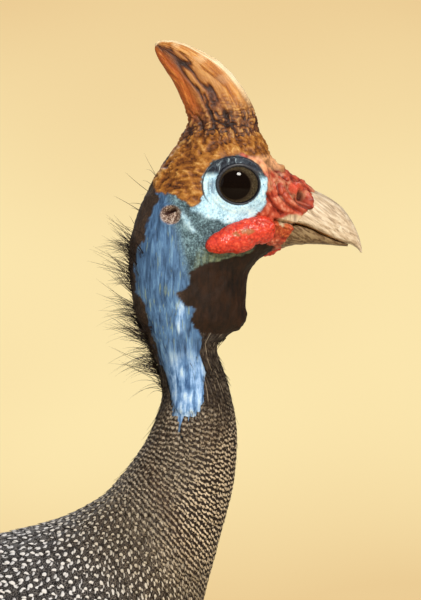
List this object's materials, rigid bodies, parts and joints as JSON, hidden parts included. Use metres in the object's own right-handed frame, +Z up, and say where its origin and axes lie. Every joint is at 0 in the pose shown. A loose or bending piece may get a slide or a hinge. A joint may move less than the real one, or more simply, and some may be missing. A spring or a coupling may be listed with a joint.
{
  "type": "guinea fowl",
  "caption": "Life-size standing guinea fowl with spotted plumage, bare blue neck, red wattles and a tall horny casque.",
  "frame": {"origin": "on the floor, below the middle of the bird's box", "axes": "+X forwards, the way the bill points; +Y to the bird's left; +Z up"},
  "size_m": [0.3696, 0.1624, 0.4472],
  "materials": {
    "plumage": "matte feathers, dark slate with round white spots",
    "neck_skin": "bare wrinkled skin, satin",
    "head_skin": "bare pebbled skin, satin, coral red at the bill",
    "casque_horn": "horny, fibrous, satin",
    "bill_horn": "smooth horn, satin",
    "wattle_skin": "pebbled fleshy skin, glossy",
    "eye": "wet, glossy",
    "leg_scale": "scaly skin, matte",
    "claw_horn": "horn, satin"
  },
  "bodies": {
    "root": {"torso": "plumage", "tail": "plumage", "neck_feathered": "plumage", "neck_bare": "neck_skin", "head": "head_skin", "casque": "casque_horn", "bill_upper": "bill_horn", "bill_lower": "bill_horn", "wing_right": "plumage", "eye_right": "eye", "wattle_right": "wattle_skin", "thigh_right": "plumage", "shank_right": "leg_scale", "toe_right_middle": "leg_scale", "claw_right_middle": "claw_horn", "toe_right_inner": "leg_scale", "claw_right_inner": "claw_horn", "toe_right_outer": "leg_scale", "claw_right_outer": "claw_horn", "toe_right_hind": "leg_scale", "claw_right_hind": "claw_horn", "wing_left": "plumage", "eye_left": "eye", "wattle_left": "wattle_skin", "thigh_left": "plumage", "shank_left": "leg_scale", "toe_left_middle": "leg_scale", "claw_left_middle": "claw_horn", "toe_left_inner": "leg_scale", "claw_left_inner": "claw_horn", "toe_left_outer": "leg_scale", "claw_left_outer": "claw_horn", "toe_left_hind": "leg_scale", "claw_left_hind": "claw_horn"}
  },
  "joints": []
}
